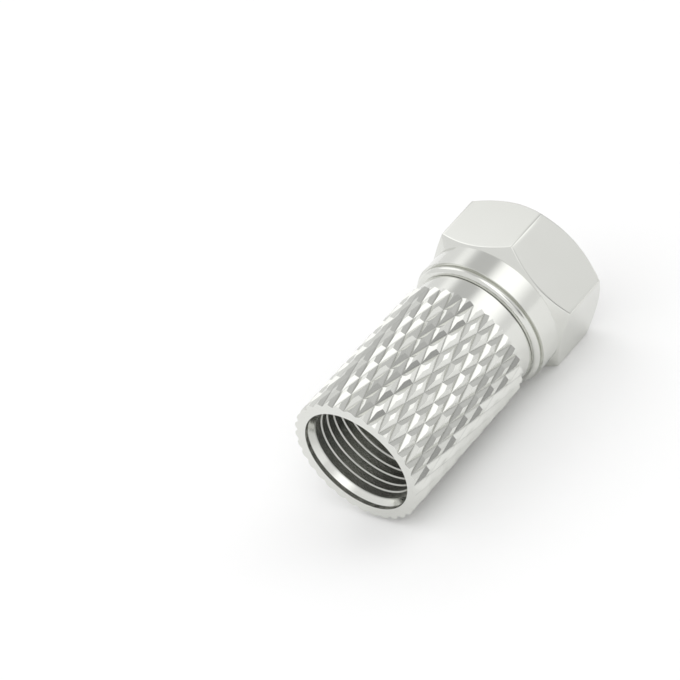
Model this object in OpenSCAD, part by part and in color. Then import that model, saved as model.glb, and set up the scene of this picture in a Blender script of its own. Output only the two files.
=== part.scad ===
// Screw-on coaxial plug: a knurled sleeve that takes the cable, and a
// hexagonal coupling nut that turns freely on the sleeve's front spigot.
// All pieces are drawn on the plug's axis (local +Z, from the cable end to
// the port end) and then laid on their side, a flat of the nut downwards.

/* [Coupling nut] */
// Hexagon, across flats
hex_af = 11.0; // [10.4:0.1:13]
// Hexagon length, chamfers included
hex_len = 5.06; // [4.2:0.02:8]
// Chamfer angle at both ends of the hexagon, from its end face
hex_chamfer_deg = 35; // [20:1:45]
// Diameter where the chamfers start, and of the round shank behind the hexagon
shank_d = 10.8; // [10.4:0.05:10.9]
// Length of the round shank, rolled edge included
shank_len = 2.5; // [2:0.05:6]
// Length of the rolled rear edge
roll_len = 0.45; // [0.2:0.01:0.8]
// How far the rolled edge curls in from the shank
roll_drop = 0.54; // [0.3:0.01:0.7]
// Depth of the crease between shank and rolled edge
crease_depth = 0.06; // [0.02:0.01:0.12]
// Width of that crease
crease_w = 0.12; // [0.06:0.01:0.2]
// Minor diameter of the internal port thread
thread_minor_d = 8.66; // [8.5:0.01:8.9]
// Countersink at the mouth of the thread, as a width
thread_mouth = 0.5; // [0.2:0.05:0.6]
// Diameter of the undercut behind the thread
undercut_d = 9.7; // [9.3:0.05:9.9]
// Length of the undercut, from the lip to the thread
undercut_len = 1.6; // [1.2:0.05:2.4]
// Thickness of the inward lip that the spigot carries
lip_t = 1.0; // [0.6:0.05:1.3]

/* [Knurled sleeve] */
// Diameter over the crests of the knurl
knurl_d = 10.3; // [10.1:0.01:11.5]
// Depth of the knurl's grooves
knurl_depth = 0.21; // [0.1:0.01:0.3]
// Length of the knurl
knurl_len = 12.75; // [9:0.01:18]
// Teeth around the knurl
knurl_teeth = 32; // [24:1:40]
// Half diamonds along the knurl
knurl_rows = 8; // [4:2:12]
// Width of each flat crest, as a share of its diamond
crest_share = 0.3; // [0.1:0.02:0.4]
// Diameter of the smooth neck
neck_d = 9.6; // [9.2:0.05:9.75]
// Length of the smooth neck, from the knurl to its front shoulder
neck_len = 1.56; // [1:0.02:4]
// Edge break at the neck's front shoulder
neck_edge = 0.1; // [0.05:0.05:0.3]

/* [Cable bore] */
// Diameter of the counterbore at the cable end
mouth_d = 8.58; // [8.4:0.02:9]
// Depth of that counterbore
mouth_depth = 0.32; // [0.1:0.02:0.6]
// Depth at which the lead-in cone behind it ends
lead_depth = 0.82; // [0.6:0.02:1.2]
// Diameter of the bore that grips the cable's jacket
cable_d = 7.8; // [7.2:0.05:8]
// Height of the ridges in that bore, over the grooves between them
ridge_height = 0.11; // [0.06:0.01:0.15]
// Width of a ridge's crest
ridge_crest = 0.05; // [0.03:0.01:0.1]
// Width of a ridge's flank
ridge_flank = 0.08; // [0.06:0.01:0.15]
// Spacing of the ridges
ridge_pitch = 0.69; // [0.5:0.01:1]
// Place of the first ridge, from the cable end
ridge_start = 1.5; // [1.3:0.01:2]
// How much a groove between two ridges deepens from its foot to its middle
groove_draft = 0.02; // [0.01:0.01:0.05]
// Length of the plain land at the bore's blind end
land_len = 2.35; // [0.6:0.05:3]
// Depth of the cable bore, from the cable end
cable_depth = 12.2; // [8:0.1:13]
// Diameter of the hole for the cable's insulated core
core_d = 5.0; // [4.4:0.1:5.6]

/* [Spigot] */
// Diameter of the spigot that carries the nut
spigot_d = 7.2; // [6.8:0.05:7.6]
// Diameter of the flange that keeps the nut on
flange_d = 8.44; // [8.2:0.02:8.6]
// Thickness of that flange
flange_t = 0.7; // [0.5:0.05:1.2]
// Edge break of the flange
flange_edge = 0.15; // [0.05:0.05:0.3]

/* [Fits] */
// Radial clearance of the nut on the spigot
spin_gap = 0.06; // [0.02:0.01:0.1]
// End play of the nut against the neck, and again against the flange
end_gap = 0.09; // [0.05:0.01:0.2]

/* [Hidden] */
$fn = 96;

nut_len = hex_len + shank_len;
shoulder_z = knurl_len + neck_len;               // neck's front shoulder
lip_z = shoulder_z + end_gap;                    // nut's rear end
flange_z = lip_z + lip_t + end_gap;              // rear face of the flange
overall_len = lip_z + nut_len;
chamfer_rise = tan(hex_chamfer_deg);             // axial rise per unit of radius
hex_corner_d = hex_af / cos(30);
row_len = knurl_len / knurl_rows;                // axial pitch of the half diamonds
tooth_deg = 360 / knurl_teeth;
crest_r = knurl_d / 2;
root_r = crest_r - knurl_depth;

// Lays a piece drawn on the local Z axis on its side, nut flat on the ground
module lay_down()
    translate([-overall_len / 2, 0, hex_af / 2]) rotate([0, 90, 0]) children();

function ring_point(r, deg, z) = [r * cos(deg), r * sin(deg), z];

// ---- Knurl: staggered rows of diamonds with small flat crests ----

// Angle of tooth i in row j; even rows are shifted by half a tooth
function tooth_angle(i, j) = tooth_deg * (i + (1 - j % 2) / 2);

// Each tooth owns five points: the groove crossing on its right, and the
// left, front, right and rear corners of its flat crest. In the first and
// last row the crest is cut by the end face, so its outer corner lies there.
points_per_tooth = 5;
function tooth_points(i, j) =
    let (
        mid = tooth_angle(i, j),
        z = j * row_len,
        half_w = crest_share * tooth_deg / 2,
        half_l = crest_share * row_len,
        front = j == knurl_rows ? z : z + half_l,
        rear = j == 0 ? z : z - half_l
    )
    [
        ring_point(root_r, mid + tooth_deg / 2, z),
        ring_point(crest_r, mid - half_w, z),
        ring_point(crest_r, mid, front),
        ring_point(crest_r, mid + half_w, z),
        ring_point(crest_r, mid, rear)
    ];

// Index of point k (0 groove, 1 left, 2 front, 3 right, 4 rear) of a tooth
function at(i, j, k) =
    points_per_tooth * (j * knurl_teeth + (i + knurl_teeth) % knurl_teeth) + k;

// The groove crossings in line with tooth i, one row on and one row back
function crossing_ahead(i, j) = at(i - j % 2, j + 1, 0);
function crossing_behind(i, j) = at(i - j % 2, j - 1, 0);

function front_half(i, j) =
    let (left = at(i - 1, j, 0), right = at(i, j, 0), ahead = crossing_ahead(i, j))
    [
        [left, at(i, j, 1), ahead],
        [at(i, j, 1), at(i, j, 2), ahead],
        [right, ahead, at(i, j, 3)],
        [at(i, j, 3), ahead, at(i, j, 2)],
        [at(i, j, 1), at(i, j, 3), at(i, j, 2)]
    ];

function rear_half(i, j) =
    let (left = at(i - 1, j, 0), right = at(i, j, 0), behind = crossing_behind(i, j))
    [
        [left, behind, at(i, j, 1)],
        [at(i, j, 1), behind, at(i, j, 4)],
        [right, at(i, j, 3), behind],
        [at(i, j, 3), at(i, j, 4), behind],
        [at(i, j, 1), at(i, j, 4), at(i, j, 3)]
    ];

// End face of the knurl, fanned out from a point on the axis
function end_face(i, j, centre, flip) =
    let (rim = [at(i - 1, j, 0), at(i, j, 1), at(i, j, 3), at(i, j, 0)])
    [
        for (k = [0:2])
            flip ? [centre, rim[k + 1], rim[k]] : [centre, rim[k], rim[k + 1]]
    ];

module knurl() {
    rear_centre = points_per_tooth * knurl_teeth * (knurl_rows + 1);
    points = [
        for (j = [0:knurl_rows], i = [0:knurl_teeth - 1]) each tooth_points(i, j),
        [0, 0, 0],
        [0, 0, knurl_len]
    ];
    faces = [
        for (j = [0:knurl_rows - 1], i = [0:knurl_teeth - 1]) each front_half(i, j),
        for (j = [1:knurl_rows], i = [0:knurl_teeth - 1]) each rear_half(i, j),
        for (i = [0:knurl_teeth - 1]) each end_face(i, 0, rear_centre, true),
        for (i = [0:knurl_teeth - 1]) each end_face(i, knurl_rows, rear_centre + 1, false)
    ];
    polyhedron(points, [for (face = faces) [face[2], face[1], face[0]]]);
}

// ---- Sleeve ----

// Neck, spigot and the flange that keeps the nut on, turned in one piece
module sleeve_front() {
    neck_r = neck_d / 2;
    flange_r = flange_d / 2;
    spigot_end = flange_z + flange_t;
    rotate_extrude()
        polygon([
            [0, knurl_len / 2],
            [neck_r, knurl_len / 2],
            [neck_r, shoulder_z - neck_edge],
            [neck_r - neck_edge, shoulder_z],
            [spigot_d / 2, shoulder_z],
            [spigot_d / 2, flange_z],
            [flange_r, flange_z],
            [flange_r, spigot_end - flange_edge],
            [flange_r - flange_edge, spigot_end],
            [0, spigot_end]
        ]);
}

// Outline of one ridge of the cable bore, up to the middle of the groove
// behind it: a crest between two flanks
function ridge(z, crest_r, foot_r) =
    let (half_crest = ridge_crest / 2, half_foot = half_crest + ridge_flank)
    [
        [foot_r, z - half_foot],
        [crest_r, z - half_crest],
        [crest_r, z + half_crest],
        [foot_r, z + half_foot],
        [foot_r + groove_draft, z + ridge_pitch / 2]
    ];

// Counterbore, lead-in, ridged cable bore with a plain land and a coned
// floor, and core hole
module cable_hollow() {
    mouth_r = mouth_d / 2;
    cable_r = cable_d / 2;
    groove_r = cable_r + ridge_height;
    foot_r = groove_r - groove_draft;
    core_r = core_d / 2;
    floor_z = cable_depth - (cable_r - core_r);
    land_z = floor_z - land_len;
    ridge_stop = land_z - ridge_pitch;
    overcut = 1;
    rotate_extrude()
        polygon([
            [0, -overcut],
            [mouth_r, -overcut],
            [mouth_r, mouth_depth],
            [groove_r, lead_depth],
            for (z = [ridge_start:ridge_pitch:ridge_stop]) each ridge(z, cable_r, foot_r),
            [foot_r, land_z - ridge_flank],
            [cable_r, land_z],
            [cable_r, floor_z],
            [core_r, cable_depth],
            [core_r, overall_len],
            [0, overall_len]
        ]);
}

module knurled_sleeve() {
    color([0.80, 0.80, 0.77])
        lay_down()
            difference() {
                union() {
                    knurl();
                    sleeve_front();
                }
                cable_hollow();
            }
}

// ---- Coupling nut ----

// Double cone that chamfers the hexagon's corners at both ends
module chamfer_cones() {
    corner_r = hex_corner_d / 2;
    start_r = shank_d / 2;
    spare = 1;                                   // reach beyond the corners
    top_r = corner_r + spare;
    rise = (top_r - start_r) * chamfer_rise;
    rotate_extrude()
        polygon([
            [0, 0],
            [start_r, 0],
            [top_r, rise],
            [top_r, hex_len - rise],
            [start_r, hex_len],
            [0, hex_len]
        ]);
}

module hexagon() {
    intersection() {
        linear_extrude(hex_len) rotate(30) circle(d = hex_corner_d, $fn = 6);
        chamfer_cones();
    }
}

// Round shank with a crease and a rear edge rolled inwards
module shank() {
    shank_r = shank_d / 2;
    steps = 8;
    roll = [
        for (k = [0:steps])
            let (a = 90 * k / steps)
            [shank_r - roll_drop * (1 - sin(a)), roll_len * (1 - cos(a))]
    ];
    rotate_extrude()
        polygon(concat(
            [[0, 0]],
            roll,
            [
                [shank_r - crease_depth, roll_len + crease_w / 2],
                [shank_r, roll_len + crease_w],
                [shank_r, shank_len],
                [0, shank_len]
            ]
        ));
}

// Lip bore for the spigot, undercut, thread at its minor diameter and the
// thread's countersunk mouth
module nut_hollow() {
    minor_r = thread_minor_d / 2;
    undercut_r = undercut_d / 2;
    lip_r = spigot_d / 2 + spin_gap;
    undercut_end = lip_t + undercut_len;
    thread_end = nut_len - thread_mouth;
    overcut = 1;
    rotate_extrude()
        polygon([
            [0, -overcut],
            [lip_r, -overcut],
            [lip_r, lip_t],
            [undercut_r, lip_t],
            [undercut_r, undercut_end - (undercut_r - minor_r)],
            [minor_r, undercut_end],
            [minor_r, thread_end],
            [minor_r + thread_mouth, nut_len],
            [minor_r + thread_mouth, nut_len + overcut],
            [0, nut_len + overcut]
        ]);
}

module coupling_nut() {
    color([0.84, 0.84, 0.81])
        lay_down()
            translate([0, 0, lip_z])
                difference() {
                    union() {
                        shank();
                        translate([0, 0, shank_len]) hexagon();
                    }
                    nut_hollow();
                }
}

knurled_sleeve();
coupling_nut();
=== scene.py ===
import math

import bmesh
import bpy
from mathutils import Matrix, Vector


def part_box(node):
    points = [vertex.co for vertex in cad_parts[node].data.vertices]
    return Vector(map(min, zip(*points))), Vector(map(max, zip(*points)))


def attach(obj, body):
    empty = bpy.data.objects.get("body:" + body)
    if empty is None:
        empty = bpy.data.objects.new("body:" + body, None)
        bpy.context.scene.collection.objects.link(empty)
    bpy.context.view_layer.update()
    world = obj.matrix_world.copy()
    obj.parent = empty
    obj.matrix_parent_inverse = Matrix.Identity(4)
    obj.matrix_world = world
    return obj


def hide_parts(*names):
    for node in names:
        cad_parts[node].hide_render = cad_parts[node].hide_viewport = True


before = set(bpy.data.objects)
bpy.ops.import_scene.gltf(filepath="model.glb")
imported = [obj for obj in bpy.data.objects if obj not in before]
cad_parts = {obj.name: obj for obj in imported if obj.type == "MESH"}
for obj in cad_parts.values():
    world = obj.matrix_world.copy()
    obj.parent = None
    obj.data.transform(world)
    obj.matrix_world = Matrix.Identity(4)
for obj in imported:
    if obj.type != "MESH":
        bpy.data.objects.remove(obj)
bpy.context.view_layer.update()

# Each piece is modelled in millimetres on the plug's own axis, local +Z running from
# the cable end to the port end, and is then laid on its side where the frame has it.
mm = 0.001
sleeveLow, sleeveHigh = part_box("knurled_sleeve")
nutLow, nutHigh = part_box("coupling_nut")
cableEnd = sleeveLow.x
axisHeight = (nutLow.z + nutHigh.z) / 2
fullTurn = 2 * math.pi
sharpFrom = 13  # degrees between two faces, from which their edge shows as one
weld = 0.0005  # mm, points nearer to each other than this become one
onPlane = 0.0001  # mm, how near to a cut a point counts as on it


def along(x):
    return (x - cableEnd) / mm  # place on the plug's axis, from the cable end


def layDown(bm):
    place = (
        Matrix.Translation((cableEnd, 0, axisHeight))
        @ Matrix.Rotation(math.radians(90), 4, "Y")
        @ Matrix.Scale(mm, 4)
    )
    bmesh.ops.transform(bm, matrix=place, verts=bm.verts)


def lathe(bm, outline, steps):
    # Spins an outline of (radius, height) points once round the axis
    verts = [bm.verts.new((radius, 0, height)) for radius, height in outline]
    edges = [bm.edges.new(pair) for pair in zip(verts, verts[1:])]
    bmesh.ops.spin(
        bm, geom=verts + edges, cent=(0, 0, 0), axis=(0, 0, 1), dvec=(0, 0, 0),
        angle=fullTurn, steps=steps, use_merge=True,
    )


def rimAt(bm, radius, height, reach=0.02):
    # The open edges that lie on one circle
    def near(vert):
        return abs(vert.co.z - height) < reach and abs(vert.co.xy.length - radius) < reach

    return [edge for edge in bm.edges if edge.is_boundary and all(near(v) for v in edge.verts)]


def openRim(bm, height, reach=0.001):
    def near(vert):
        return abs(vert.co.z - height) < reach

    return [edge for edge in bm.edges if edge.is_boundary and all(near(v) for v in edge.verts)]


def trimEnds(bm, start, end):
    for height, outward in ((start, -1), (end, 1)):
        bmesh.ops.bisect_plane(
            bm, geom=bm.verts[:] + bm.edges[:] + bm.faces[:], dist=onPlane,
            plane_co=(0, 0, height), plane_no=(0, 0, outward), clear_outer=True,
        )


def sharpen(bm, degrees):
    for face in bm.faces:
        face.smooth = True
    for edge in bm.edges:
        angle = edge.calc_face_angle(0)
        edge.smooth = angle < math.radians(degrees)


def finishPiece(bm, name, material, node, body):
    bmesh.ops.remove_doubles(bm, verts=bm.verts, dist=weld)
    bmesh.ops.recalc_face_normals(bm, faces=bm.faces)
    openEdges = sum(edge.is_boundary or not edge.is_manifold for edge in bm.edges)
    if bm.calc_volume(signed=True) < 0:
        bmesh.ops.reverse_faces(bm, faces=bm.faces)
    sharpen(bm, sharpFrom)
    triangles = sum(len(face.verts) - 2 for face in bm.faces)
    layDown(bm)
    mesh = bpy.data.meshes.new(name)
    bm.to_mesh(mesh)
    bm.free()
    mesh.materials.append(material)
    piece = bpy.data.objects.new(name, mesh)
    bpy.context.scene.collection.objects.link(piece)
    weighted = piece.modifiers.new("evenShading", "WEIGHTED_NORMAL")
    weighted.keep_sharp = True
    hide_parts(node)
    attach(piece, body)
    print(f"{name}: {triangles} triangles, {openEdges} open or doubled edges")


class Signal:
    # Wraps a node's output, so that shader maths is written as expressions
    def __init__(self, socket):
        self.socket = socket

    @staticmethod
    def node(tree, kind, settings=None, sockets=None):
        made = tree.nodes.new(kind)
        for name, value in (settings or {}).items():
            setattr(made, name, value)
        for name, value in (sockets or {}).items():
            if isinstance(value, Signal):
                tree.links.new(value.socket, made.inputs[name])
            else:
                made.inputs[name].default_value = value
        return made

    def maths(self, operation, first, second=None):
        made = self.socket.id_data.nodes.new("ShaderNodeMath")
        made.operation = operation
        for slot, value in zip(made.inputs, (first, second)):
            if isinstance(value, Signal):
                self.socket.id_data.links.new(value.socket, slot)
            elif value is not None:
                slot.default_value = value
        return Signal(made.outputs[0])

    def __add__(self, other):
        return self.maths("ADD", self, other)

    def __radd__(self, other):
        return self.maths("ADD", other, self)

    def __sub__(self, other):
        return self.maths("SUBTRACT", self, other)

    def __rsub__(self, other):
        return self.maths("SUBTRACT", other, self)

    def __mul__(self, other):
        return self.maths("MULTIPLY", self, other)

    def __rmul__(self, other):
        return self.maths("MULTIPLY", other, self)


def blank(name):
    material = bpy.data.materials.new(name)
    material.use_nodes = True
    material.node_tree.nodes.clear()
    return material, material.node_tree


nickel = {
    "colour": (0.733, 0.739, 0.706, 1),
    "warm": (0.700, 0.702, 0.662, 1),
    "roughness": 0.13,
    "cloudScale": 420.0,
    "cloudDetail": 3.0,
    "cloudShare": 0.5,
    "cloudRoughness": 0.04,
}
# Painted shade on the sleeve: rings round the axis, by their radii and by their start and end
# on it, where the colour is darkened as painted shade in its recesses and the plating is made
# rougher and duller
dullAndShadedZones = {
    # The cable bore: its colour darkened down the deep hole as painted shade
    "bore": {
        "inner": 0, "outer": 4.03, "fade": 0.04, "start": 0.4, "end": 13,
        "colour": (0.520, 0.523, 0.495, 1), "rougher": 0.09,
    },
    # The knurl's groove bottoms: their colour darkened between the teeth as painted shade
    "knurlGrooves": {
        "inner": 4.92, "outer": 4.945, "fade": 0.045, "start": 0.02, "end": 12.73,
        "colour": (0.590, 0.594, 0.566, 1), "rougher": 0.06,
    },
}


def ringMask(tree, spot, zone):
    # 1 in the ring, fading to 0 over its edge
    sideways = Signal.node(
        tree, "ShaderNodeMapping", {},
        {"Vector": spot, "Scale": (0, 1, 1), "Location": (0, 0, -axisHeight)},
    )
    reach = Signal.node(
        tree, "ShaderNodeVectorMath", {"operation": "LENGTH"},
        {0: Signal(sideways.outputs["Vector"])},
    )
    offAxis = Signal(reach.outputs["Value"]) - (zone["inner"] + zone["outer"]) / 2 * mm
    halfRing = (zone["outer"] - zone["inner"]) / 2
    across = Signal.node(
        tree, "ShaderNodeMapRange", {},
        {
            "Value": offAxis.maths("ABSOLUTE", offAxis),
            "From Min": halfRing * mm,
            "From Max": (halfRing + zone["fade"]) * mm,
            "To Min": 1.0,
            "To Max": 0.0,
        },
    )
    place = Signal.node(tree, "ShaderNodeSeparateXYZ", {}, {"Vector": spot})
    lengthwise = Signal(place.outputs["X"]) - (cableEnd + (zone["start"] + zone["end"]) / 2 * mm)
    distance = lengthwise.maths("ABSOLUTE", lengthwise)
    within = distance.maths("LESS_THAN", distance, (zone["end"] - zone["start"]) / 2 * mm)
    return Signal(across.outputs[0]) * within


def nickelPlating(name, tone, zones=None):
    material, tree = blank(name)
    place = Signal.node(tree, "ShaderNodeTexCoord")
    spot = Signal(place.outputs["Object"])
    cloud = Signal.node(
        tree, "ShaderNodeTexNoise", {},
        {"Vector": spot, "Scale": tone["cloudScale"], "Detail": tone["cloudDetail"]},
    )
    clouds = Signal(cloud.outputs["Fac"])
    mix = Signal.node(
        tree, "ShaderNodeMix", {"data_type": "RGBA"},
        {"Factor": clouds * tone["cloudShare"], "A": tone["colour"], "B": tone["warm"]},
    )
    colour = Signal(mix.outputs["Result"])
    roughness = tone["roughness"] + clouds * tone["cloudRoughness"]
    # Each zone darkens the colour as painted shade in a recess, and raises the roughness there
    for zone in (zones or {}).values():
        share = ringMask(tree, spot, zone)
        dullAndShadedColour = Signal.node(
            tree, "ShaderNodeMix", {"data_type": "RGBA"},
            {"Factor": share, "A": colour, "B": zone["colour"]},
        )
        colour = Signal(dullAndShadedColour.outputs["Result"])
        roughness = roughness + share * zone["rougher"]
    metal = Signal.node(
        tree, "ShaderNodeBsdfPrincipled", {},
        {"Base Color": colour, "Metallic": 1.0, "Roughness": roughness},
    )
    Signal.node(tree, "ShaderNodeOutputMaterial", {}, {"Surface": Signal(metal.outputs["BSDF"])})
    return material


print("materials ready")

sleeve = {
    "knurlRadius": 5.15,
    "knurlDepth": 0.21,
    "knurlLength": 12.75,
    "teeth": 32,
    "halfRows": 8,
    "crestShare": 0.3,
    "neckRadius": 4.8,
    "shoulderEdge": 0.03,
    "endGap": 0.03,
    "mouthRadius": 4.29,
    "mouthDepth": 0.32,
    "leadDepth": 0.82,
    "boreRadius": 3.9,
    "boreDepth": 12.2,
    "coreRadius": 2.5,
    "ridgeFirst": 1.5,
    "ridgePitch": 0.69,
    "ridgeHeight": 0.11,
    "ridgeFlank": 0.08,
    "ridgeCrest": 0.05,
    "ridges": 10,
    "grooveDraft": 0.02,
    "landLength": 2.35,
    "spigotRadius": 3.6,
    "flangeRadius": 4.22,
    "flangeThickness": 0.7,
    "flangeEdge": 0.15,
    "steps": 128,
}


def knurlTeeth(bm, s):
    # One tooth: a diamond whose middle is raised into a small flat crest
    row = s["knurlLength"] / s["halfRows"]
    halfTooth = math.pi / s["teeth"]
    corners = [(-1, 0), (0, -1), (1, 0), (0, 1)]
    outer = [bm.verts.new((0, side, end)) for side, end in corners]
    face = bm.faces.new(outer)
    bmesh.ops.inset_individual(bm, faces=[face], thickness=0)
    crest = list(face.verts)
    bmesh.ops.scale(bm, vec=(1, s["crestShare"], s["crestShare"]), verts=crest)
    rootRadius = s["knurlRadius"] - s["knurlDepth"]
    for vert in bm.verts:
        radius = s["knurlRadius"] if vert in crest else rootRadius
        angle = vert.co.y * halfTooth
        vert.co = (radius * math.cos(angle), radius * math.sin(angle), vert.co.z * row)
    tooth = bm.verts[:] + bm.edges[:] + bm.faces[:]
    bmesh.ops.spin(
        bm, geom=tooth, cent=(0, 0, 0), axis=(0, 0, 1), dvec=(0, 0, 0),
        angle=fullTurn, steps=s["teeth"], use_merge=False, use_duplicate=True,
    )
    bmesh.ops.remove_doubles(bm, verts=bm.verts, dist=weld)
    ring = bm.verts[:] + bm.edges[:] + bm.faces[:]
    for count in range(s["halfRows"] + 1):
        copied = bmesh.ops.duplicate(bm, geom=ring)["geom"]
        verts = [part for part in copied if isinstance(part, bmesh.types.BMVert)]
        turn = Matrix.Rotation(halfTooth * (1 - count % 2), 3, "Z")
        bmesh.ops.rotate(bm, verts=verts, cent=(0, 0, 0), matrix=turn)
        bmesh.ops.translate(bm, verts=verts, vec=(0, 0, count * row))
    first = [part for part in ring if isinstance(part, bmesh.types.BMVert)]
    bmesh.ops.delete(bm, geom=first, context="VERTS")
    bmesh.ops.remove_doubles(bm, verts=bm.verts, dist=weld)
    trimEnds(bm, 0, s["knurlLength"])


def buildSleeve(s, material):
    bm = bmesh.new()
    knurlTeeth(bm, s)
    scallopsBack = openRim(bm, 0)
    scallopsFront = openRim(bm, s["knurlLength"])
    spigotEnd = along(sleeveHigh.x)
    flangeStart = spigotEnd - s["flangeThickness"]
    shoulder = along(nutLow.x) - s["endGap"]
    neckFoot = s["knurlLength"]
    bore = s["boreRadius"]
    groove = bore + s["ridgeHeight"]
    foot = groove - s["grooveDraft"]
    floorStart = s["boreDepth"] - (bore - s["coreRadius"])
    landStart = floorStart - s["landLength"]
    halfCrest = s["ridgeCrest"] / 2
    halfFoot = halfCrest + s["ridgeFlank"]
    inside = [
        (s["mouthRadius"], 0),
        (s["mouthRadius"], s["mouthDepth"]),
        (groove, s["leadDepth"]),
    ]
    for count in range(s["ridges"]):
        middle = s["ridgeFirst"] + count * s["ridgePitch"]
        inside += [
            (foot, middle - halfFoot),
            (bore, middle - halfCrest),
            (bore, middle + halfCrest),
            (foot, middle + halfFoot),
            (groove, middle + s["ridgePitch"] / 2),
        ]
    inside += [
        (foot, landStart - s["ridgeFlank"]),
        (bore, landStart),
        (bore, floorStart),
        (s["coreRadius"], s["boreDepth"]),
        (s["coreRadius"], spigotEnd),
    ]
    front = [
        (s["flangeRadius"] - s["flangeEdge"], spigotEnd),
        (s["flangeRadius"], spigotEnd - s["flangeEdge"]),
        (s["flangeRadius"], flangeStart),
        (s["spigotRadius"], flangeStart),
        (s["spigotRadius"], shoulder),
        (s["neckRadius"] - s["shoulderEdge"], shoulder),
        (s["neckRadius"], shoulder - s["shoulderEdge"]),
        (s["neckRadius"], neckFoot),
    ]
    lathe(bm, inside + front, s["steps"])
    rimBack = [e for e in rimAt(bm, s["mouthRadius"], 0) if e not in scallopsBack]
    rimFront = [e for e in rimAt(bm, s["neckRadius"], neckFoot) if e not in scallopsFront]
    print(f"sleeve: {len(scallopsBack)} and {len(rimBack)} edges joined at the cable end")
    print(f"sleeve: {len(scallopsFront)} and {len(rimFront)} edges joined at the neck")
    bmesh.ops.bridge_loops(bm, edges=scallopsBack + rimBack)
    bmesh.ops.bridge_loops(bm, edges=scallopsFront + rimFront)
    finishPiece(bm, "sleeveTurned", material, "knurled_sleeve", "sleeve")


# The sleeve's plating carries painted shade in its cable bore and its knurl's groove bottoms
buildSleeve(sleeve, nickelPlating("sleevePlating", nickel, dullAndShadedZones))
print("sleeve built")

nut = {
    "acrossFlats": 11.0,
    "hexLength": 5.06,
    "chamferDegrees": 35,
    "shankRadius": 5.4,
    "rollRadius": 5.24,
    "rollLength": 0.44,
    "rollFoot": 4.83,
    "rollCrest": 0.8,  # share of the roll's length that lies behind its crest
    "rollSteps": 16,
    "rollPast": 50,  # degrees that its arc goes on past the crest
    "creaseStep": 0.01,
    "shoulderEdge": 0.02,
    "reliefDepth": 0.05,
    "reliefWidth": 0.1,
    "lipRadius": 3.66,
    "lipThickness": 1.0,
    "undercutRadius": 4.85,
    "undercutLength": 1.6,
    "minorRadius": 4.33,
    "majorRadius": 4.7625,
    "pitch": 25.4 / 32,
    "flankDegrees": 30,
    "threadCrest": 0.68,  # share of the thread's flats that is at its crests
    "turnSteps": 96,
    "turnsBefore": 2,  # spare turns, cut off at both ends
    "turnsAfter": 1,
    "turnWeld": 0.002,
    "sliver": 0.02,  # gap at each end of the thread, bridged to the turned body
    "mouthWidth": 0.5,
    "hexStep": 0.001,
    "hexFrom": 0.01,  # a point this far outside the shank belongs to the hexagon
    "edgeFrom": 20,  # degrees, from which an edge of the hexagon is rounded
    "edge": 0.08,
    "edgeSteps": 6,
    "steps": 192,
}


def portThread(bm, n, start, end, mouth, runOut):
    # A right-hand 60 degree thread, as one V swept up a helix
    depth = n["majorRadius"] - n["minorRadius"]
    flank = depth * math.tan(math.radians(n["flankDegrees"]))
    crest = (n["pitch"] - 2 * flank) * n["threadCrest"]
    root = n["pitch"] - 2 * flank - crest
    outline = [
        (n["minorRadius"], 0), (n["minorRadius"], crest),
        (n["majorRadius"], crest + flank), (n["majorRadius"], crest + flank + root),
        (n["minorRadius"], n["pitch"]),
    ]
    foot = start - n["turnsBefore"] * n["pitch"]
    verts = [bm.verts.new((radius, 0, foot + height)) for radius, height in outline]
    edges = [bm.edges.new(pair) for pair in zip(verts, verts[1:])]
    bmesh.ops.subdivide_edges(bm, edges=edges, cuts=2)
    strand = bm.verts[:] + bm.edges[:]
    turns = math.ceil((end - start) / n["pitch"]) + n["turnsBefore"] + n["turnsAfter"]
    steps = turns * n["turnSteps"]
    bmesh.ops.spin(
        bm, geom=strand, cent=(0, 0, 0), axis=(0, 0, 1), dvec=(0, 0, n["pitch"] / n["turnSteps"]),
        angle=fullTurn * turns, steps=steps, use_merge=False,
    )
    bmesh.ops.remove_doubles(bm, verts=bm.verts, dist=n["turnWeld"])
    trimEnds(bm, start, end)
    for vert in bm.verts:
        radius = vert.co.xy.length
        wanted = max(radius, mouth(vert.co.z), runOut(vert.co.z))
        vert.co.xy *= wanted / radius


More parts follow.
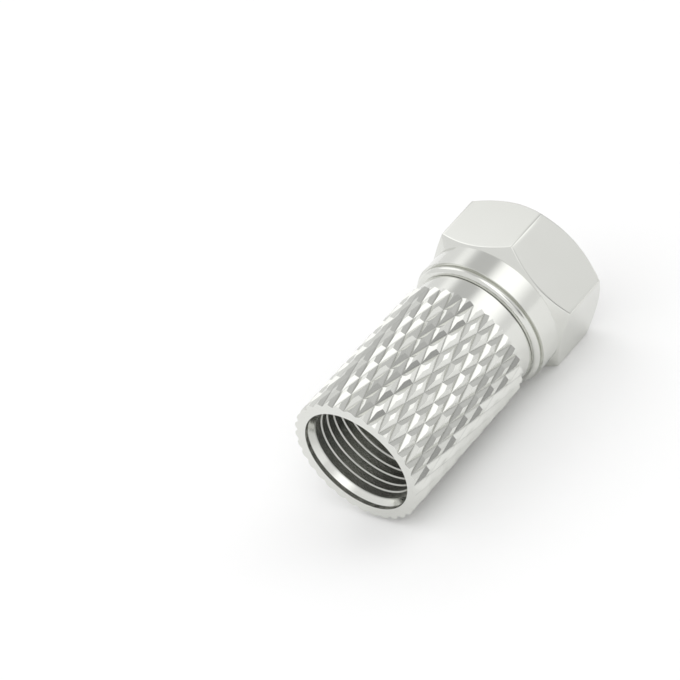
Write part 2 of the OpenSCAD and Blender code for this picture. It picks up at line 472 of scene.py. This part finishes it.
def buildNut(n, material):
    bm = bmesh.new()
    rear = along(nutLow.x)
    front = along(nutHigh.x)
    hexStart = front - n["hexLength"]
    half = n["acrossFlats"] / 2
    rise = math.tan(math.radians(n["chamferDegrees"]))
    mouthRadius = n["minorRadius"] + n["mouthWidth"]
    undercutEnd = rear + n["lipThickness"] + n["undercutLength"]
    runOutStart = undercutEnd - (n["undercutRadius"] - n["minorRadius"])
    threadStart = runOutStart + n["sliver"]
    threadEnd = front - n["sliver"]

    def mouth(height):
        return mouthRadius - (front - height)

    def runOut(height):
        return n["undercutRadius"] - (height - runOutStart)

    portThread(bm, n, threadStart, threadEnd, mouth, runOut)
    threadRear = openRim(bm, threadStart)
    threadFront = openRim(bm, threadEnd)
    outline = [
        (n["undercutRadius"], runOutStart),
        (n["undercutRadius"], rear + n["lipThickness"]),
        (n["lipRadius"], rear + n["lipThickness"]),
        (n["lipRadius"], rear),
    ]
    # The rolled rear edge: an arc over its crest and down into the crease before the shank
    crestAt = rear + n["rollLength"] * n["rollCrest"]
    for count in range(n["rollSteps"] + 1):
        angle = math.radians((90 + n["rollPast"]) * count / n["rollSteps"])
        outline.append((
            n["rollFoot"] + (n["rollRadius"] - n["rollFoot"]) * math.sin(angle),
            crestAt - n["rollLength"] * n["rollCrest"] * math.cos(angle),
        ))
    shankStart = outline[-1][1] + n["creaseStep"]
    outline += [
        (n["shankRadius"] - n["shoulderEdge"], shankStart),
        (n["shankRadius"], shankStart + n["shoulderEdge"]),
        (n["shankRadius"], hexStart - n["reliefWidth"]),
        (n["shankRadius"] - n["reliefDepth"], hexStart - n["reliefWidth"] / 2),
        (n["shankRadius"], hexStart),
        (half, hexStart + n["hexStep"]),
        (half, front - n["hexStep"]),
        (n["shankRadius"], front),
        (mouthRadius, front),
    ]
    lathe(bm, outline, n["steps"])
    # The hexagon: a round collar pushed out to six flats, its corners chamfered
    sixth = math.radians(60)
    for vert in bm.verts:
        if vert.co.xy.length > n["shankRadius"] + n["hexFrom"]:
            angle = math.atan2(vert.co.y, vert.co.x) % sixth
            across = abs(angle if angle < sixth / 2 else angle - sixth)
            reach = half / math.cos(across)
            chamfer = (reach - n["shankRadius"]) * rise
            vert.co.xy *= reach / vert.co.xy.length
            isRear = vert.co.z < (hexStart + front) / 2
            vert.co.z = hexStart + chamfer if isRear else front - chamfer
    undercutRim = rimAt(bm, n["undercutRadius"], runOutStart, reach=0.005)
    mouthRim = rimAt(bm, mouthRadius, front, reach=0.005)
    rimRear = [edge for edge in undercutRim if edge not in threadRear]
    rimFront = [edge for edge in mouthRim if edge not in threadFront]
    print(f"nut: {len(threadRear)} and {len(rimRear)} edges joined at the undercut")
    print(f"nut: {len(threadFront)} and {len(rimFront)} edges joined at the mouth")
    bmesh.ops.bridge_loops(bm, edges=threadRear + rimRear)
    bmesh.ops.bridge_loops(bm, edges=threadFront + rimFront)
    bmesh.ops.recalc_face_normals(bm, faces=bm.faces)
    corners = [
        edge for edge in bm.edges
        if edge.calc_face_angle(0) > math.radians(n["edgeFrom"])
        and all(v.co.xy.length > half - n["hexStep"] for v in edge.verts)
    ]
    bmesh.ops.bevel(
        bm, geom=corners, offset=n["edge"], offset_type="OFFSET", affect="EDGES",
        segments=n["edgeSteps"], profile=0.5, material=-1, clamp_overlap=True,
    )
    finishPiece(bm, "nutTurned", material, "coupling_nut", "nut")


buildNut(nut, nickelPlating("nutPlating", nickel))
print("nut built")

studio = {
    "floorReach": 6.0,
    "floorColour": (0.8, 0.8, 0.8, 1),
    "floorShade": 0.98,
    "floorGlow": 0.03,
    "worldColour": (1.0, 1.0, 1.0, 1),
    "worldLevel": 0.9,
    "darkest": 0.25,
}

# Soft lamps and dark flags around the object: the way to each one's middle, how far its
# even part and its soft edge reach in degrees, and what it adds to the world's level
surround = {
    "broadLamp": {"azimuth": -81, "elevation": 49, "even": 30, "edge": 44, "adds": 0.85},
    "narrowLamp": {"azimuth": 73, "elevation": 43, "even": 15, "edge": 24, "adds": 0.52},
    "topFlag": {"azimuth": -22, "elevation": 47, "even": 33, "edge": 47, "adds": -0.27},
    "sideFlag": {"azimuth": -84, "elevation": 25, "even": 7, "edge": 30, "adds": -1.2},
}


def buildFloor(s):
    bm = bmesh.new()
    bmesh.ops.create_grid(bm, x_segments=1, y_segments=1, size=s["floorReach"])
    mesh = bpy.data.meshes.new("floor")
    bm.to_mesh(mesh)
    bm.free()
    material, tree = blank("floorPaper")
    rays = Signal.node(tree, "ShaderNodeLightPath")
    seen = (
        Signal(rays.outputs["Is Camera Ray"])
        + Signal(rays.outputs["Is Glossy Ray"])
        + Signal(rays.outputs["Is Transmission Ray"])
    )
    paper = Signal.node(tree, "ShaderNodeBsdfDiffuse", {}, {"Color": s["floorColour"]})
    shade = [s["floorShade"]] * 3 + [1]
    dimmed = Signal.node(tree, "ShaderNodeBsdfDiffuse", {}, {"Color": shade})
    glow = Signal.node(tree, "ShaderNodeEmission", {}, {"Strength": s["floorGlow"]})
    white = Signal.node(
        tree, "ShaderNodeAddShader", {},
        {0: Signal(dimmed.outputs["BSDF"]), 1: Signal(glow.outputs["Emission"])},
    )
    mix = Signal.node(
        tree, "ShaderNodeMixShader", {},
        {0: seen, 1: Signal(paper.outputs["BSDF"]), 2: Signal(white.outputs["Shader"])},
    )
    Signal.node(tree, "ShaderNodeOutputMaterial", {}, {"Surface": Signal(mix.outputs["Shader"])})
    mesh.materials.append(material)
    floor = bpy.data.objects.new("floor", mesh)
    bpy.context.scene.collection.objects.link(floor)


def heading(azimuth, elevation):
    a, e = math.radians(azimuth), math.radians(elevation)
    return Vector((math.cos(e) * math.cos(a), math.cos(e) * math.sin(a), math.sin(e)))


def buildWorld(s, patches):
    world = bpy.data.worlds.new("studio")
    bpy.context.scene.world = world
    world.use_nodes = True
    tree = world.node_tree
    tree.nodes.clear()
    towards = Signal.node(tree, "ShaderNodeTexCoord")
    level = s["worldLevel"]
    for patch in patches.values():
        middle = heading(patch["azimuth"], patch["elevation"])
        facing = Signal.node(
            tree, "ShaderNodeVectorMath", {"operation": "DOT_PRODUCT"},
            {0: Signal(towards.outputs["Generated"]), 1: middle},
        )
        share = Signal.node(
            tree, "ShaderNodeMapRange", {"interpolation_type": "SMOOTHSTEP"},
            {
                "Value": Signal(facing.outputs["Value"]),
                "From Min": math.cos(math.radians(patch["edge"])),
                "From Max": math.cos(math.radians(patch["even"])),
            },
        )
        level = level + Signal(share.outputs[0]) * patch["adds"]
    ground = Signal.node(
        tree, "ShaderNodeBackground", {},
        {"Color": s["worldColour"], "Strength": level.maths("MAXIMUM", level, s["darkest"])},
    )
    Signal.node(tree, "ShaderNodeOutputWorld", {}, {"Surface": Signal(ground.outputs[0])})


view = {
    "heading": 38.141,  # degrees that the camera looks to the right of +Y
    "elevation": 34.684,
    "roll": 23.392,
    "distance": 269.46,
    "aim": (-3.48, 5.81, 8.96),
    "lens": 204.5,
    "sensorWidth": 36,
    "nearest": 0.01,
}


def buildCamera(v):
    turn, tilt = math.radians(v["heading"]), math.radians(v["elevation"])
    level = math.cos(tilt)
    forward = Vector((level * math.sin(turn), level * math.cos(turn), -math.sin(tilt)))
    place = (Vector(v["aim"]) - forward * v["distance"]) * mm
    lens = bpy.data.cameras.new("camera")
    lens.lens = v["lens"]
    lens.sensor_width = v["sensorWidth"]
    lens.clip_start = v["nearest"]
    camera = bpy.data.objects.new("camera", lens)
    bpy.context.scene.collection.objects.link(camera)
    upright = forward.to_track_quat("-Z", "Y").to_matrix().to_4x4()
    lean = Matrix.Rotation(math.radians(v["roll"]), 4, forward)
    camera.matrix_world = Matrix.Translation(place) @ lean @ upright
    bpy.context.scene.camera = camera


buildFloor(studio)
buildWorld(studio, surround)
buildCamera(view)
bpy.context.scene.view_settings.view_transform = "Standard"
print("stage ready")
